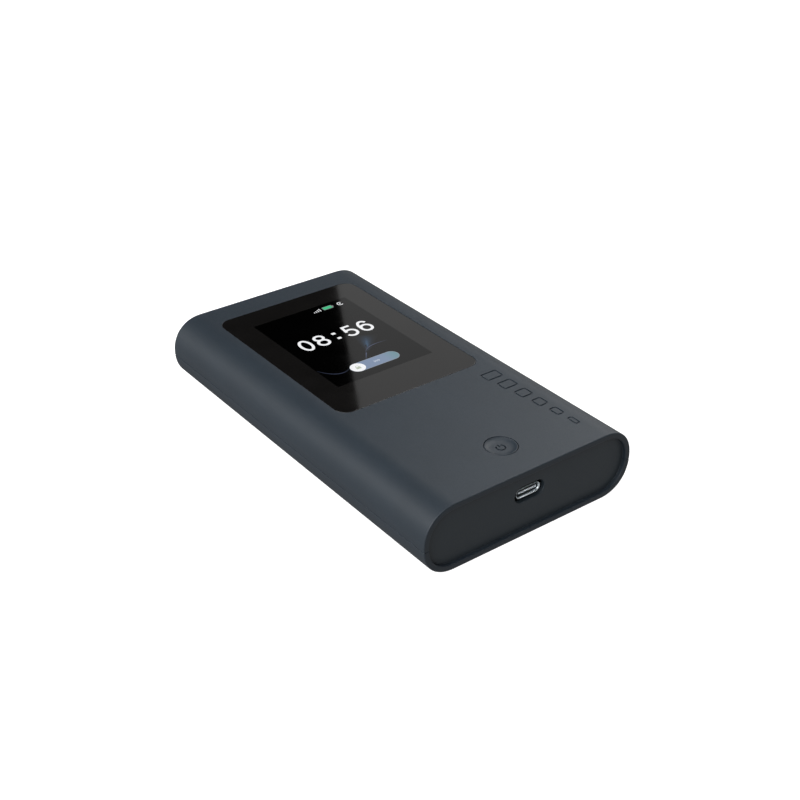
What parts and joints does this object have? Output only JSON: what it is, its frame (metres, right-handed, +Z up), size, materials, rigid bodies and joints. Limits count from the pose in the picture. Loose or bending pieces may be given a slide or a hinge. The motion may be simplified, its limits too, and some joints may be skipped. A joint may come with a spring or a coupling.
{
  "type": "mobile hotspot",
  "caption": "Pocket mobile router: rounded slab casing with a glass-covered screen and a round power button on top, recessed end panels, a USB-C socket, and a lift-off back cover.",
  "frame": {"origin": "middle of the footprint, on the flat underside of the back cover", "axes": "+X across the width, to the right as the screen is read; +Y along the length, away from the USB-C end; +Z up, out of the screen"},
  "size_m": [0.077, 0.137, 0.0221],
  "materials": {
    "body_plastic": "moulded, dark slate blue-grey, fine spark-eroded texture",
    "panel_plastic": "moulded, darker grey, fine matt texture",
    "inner_plastic": "moulded, black, plain",
    "cover_glass": "polished, black printed border behind the face",
    "screen": "black liquid crystal panel, lit icons when on",
    "steel": "nickel-plated stampings and screws",
    "gold_contact": "gold-plated spring blades",
    "circuit_board": "green solder mask",
    "chip_resin": "moulded epoxy packages",
    "battery_wrap": "lithium-ion pack in a dark film wrap",
    "soft_pad": "grey silicone pad and adhesive tape",
    "flex_film": "polyimide flexible circuit",
    "card_plastic": "white moulded plastic"
  },
  "bodies": {
    "back_cover": {"back_cover": "body_plastic"},
    "main_unit": {"upper_shell": "body_plastic", "front_end_panel": "panel_plastic", "rear_end_panel": "panel_plastic", "cover_glass": "cover_glass", "glass_adhesive": "soft_pad", "display_panel": "screen", "display_backlight": "card_plastic", "display_flex": "flex_film", "display_connector": "inner_plastic", "power_switch_base": "steel", "main_board": "circuit_board", "modem_chip": "chip_resin", "memory_chip": "chip_resin", "wifi_chip": "chip_resin", "power_chip": "chip_resin", "charging_coil": "chip_resin", "modem_shield": "steel", "radio_shield": "steel", "thermal_pad": "soft_pad", "usb_c_shell": "steel", "usb_c_insert": "inner_plastic", "sim_socket": "steel", "reset_switch_base": "steel", "chassis": "inner_plastic", "battery_contact_block": "inner_plastic", "battery_contact_1": "gold_contact", "battery_contact_2": "gold_contact", "battery_contact_3": "gold_contact", "cellular_antenna_left": "flex_film", "cellular_antenna_right": "flex_film", "wifi_antenna_left": "flex_film", "wifi_antenna_right": "flex_film", "cellular_clip_left": "gold_contact", "cellular_clip_right": "gold_contact", "wifi_clip_left": "gold_contact", "wifi_clip_right": "gold_contact", "chassis_screw_1": "steel", "chassis_screw_2": "steel", "chassis_screw_3": "steel", "chassis_screw_4": "steel", "board_screw_1": "steel", "board_screw_2": "steel"},
    "power_button": {"power_button": "body_plastic"},
    "power_switch_plunger": {"power_switch_plunger": "inner_plastic"},
    "reset_switch_plunger": {"reset_switch_plunger": "inner_plastic"},
    "sim_card": {"sim_card": "card_plastic"},
    "battery": {"battery_pack": "battery_wrap"}
  },
  "joints": [
    {"name": "back_cover_release", "type": "slide", "parent": "back_cover", "child": "main_unit", "axis": [0, 0, 1], "range_m": [0, 0.03]},
    {"name": "battery_removal", "type": "slide", "parent": "main_unit", "child": "battery", "axis": [0, 0, -1], "range_m": [0, 0.012]},
    {"name": "power_button_press", "type": "slide", "parent": "main_unit", "child": "power_button", "axis": [0, 0, -1], "range_m": [0, 0.00035], "stiffness_N_per_m": 4000, "springref_m": -0.0001},
    {"name": "power_switch_press", "type": "slide", "parent": "main_unit", "child": "power_switch_plunger", "axis": [0, 0, -1], "range_m": [0, 0.00035]},
    {"name": "reset_switch_press", "type": "slide", "parent": "main_unit", "child": "reset_switch_plunger", "axis": [0, 0, 1], "range_m": [0, 0.0003], "stiffness_N_per_m": 4000, "springref_m": -0.0001},
    {"name": "sim_card_slide", "type": "slide", "parent": "main_unit", "child": "sim_card", "axis": [0, -1, 0], "range_m": [0, 0.0101]}
  ],
  "couplings": [
    {"joint": "battery_removal", "follows": "back_cover_release", "ratio": 0.4},
    {"joint": "power_switch_press", "follows": "power_button_press", "ratio": 1}
  ]
}
